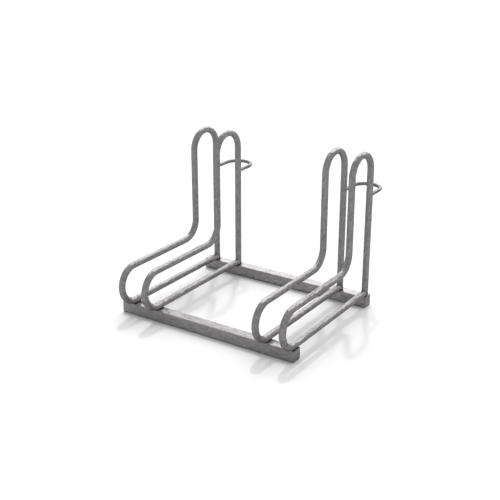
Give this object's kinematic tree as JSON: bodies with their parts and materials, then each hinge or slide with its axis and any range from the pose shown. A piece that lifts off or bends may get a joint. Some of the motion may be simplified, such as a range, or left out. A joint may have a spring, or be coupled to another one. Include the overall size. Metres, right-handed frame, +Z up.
{
  "type": "bicycle rack",
  "caption": "Floor-standing bicycle rack of bent galvanised tube hoops in pairs on square rails, with a loop behind each pair for a lock",
  "frame": {"origin": "on the floor, under the middle of the rack's overall box", "axes": "+X along the rails, to the right as seen from the front; +Y from the front, where a wheel rolls in, to the back; +Z up"},
  "size_m": [0.645, 0.644, 0.537],
  "materials": {
    "rail_section": "hot-dip galvanised, mottled, satin",
    "bent_tube": "hot-dip galvanised, mottled, satin",
    "lock_bar": "hot-dip galvanised, satin",
    "weld_bead": "arc weld under zinc"
  },
  "bodies": {
    "root": {"front_rail": "rail_section", "front_rail_left_end_plate": "rail_section", "front_rail_right_end_plate": "rail_section", "rear_rail": "rail_section", "rear_rail_left_end_plate": "rail_section", "rear_rail_right_end_plate": "rail_section", "left_outer_hoop": "bent_tube", "left_outer_hoop_corner_weld": "weld_bead", "left_outer_hoop_front_foot_welds": "weld_bead", "left_outer_hoop_rear_foot_welds": "weld_bead", "left_inner_hoop": "bent_tube", "left_inner_hoop_corner_weld": "weld_bead", "left_inner_hoop_front_foot_welds": "weld_bead", "left_inner_hoop_rear_foot_welds": "weld_bead", "right_inner_hoop": "bent_tube", "right_inner_hoop_corner_weld": "weld_bead", "right_inner_hoop_front_foot_welds": "weld_bead", "right_inner_hoop_rear_foot_welds": "weld_bead", "right_outer_hoop": "bent_tube", "right_outer_hoop_corner_weld": "weld_bead", "right_outer_hoop_front_foot_welds": "weld_bead", "right_outer_hoop_rear_foot_welds": "weld_bead", "left_lock_loop": "lock_bar", "left_lock_loop_welds": "weld_bead", "right_lock_loop": "lock_bar", "right_lock_loop_welds": "weld_bead"}
  },
  "joints": []
}
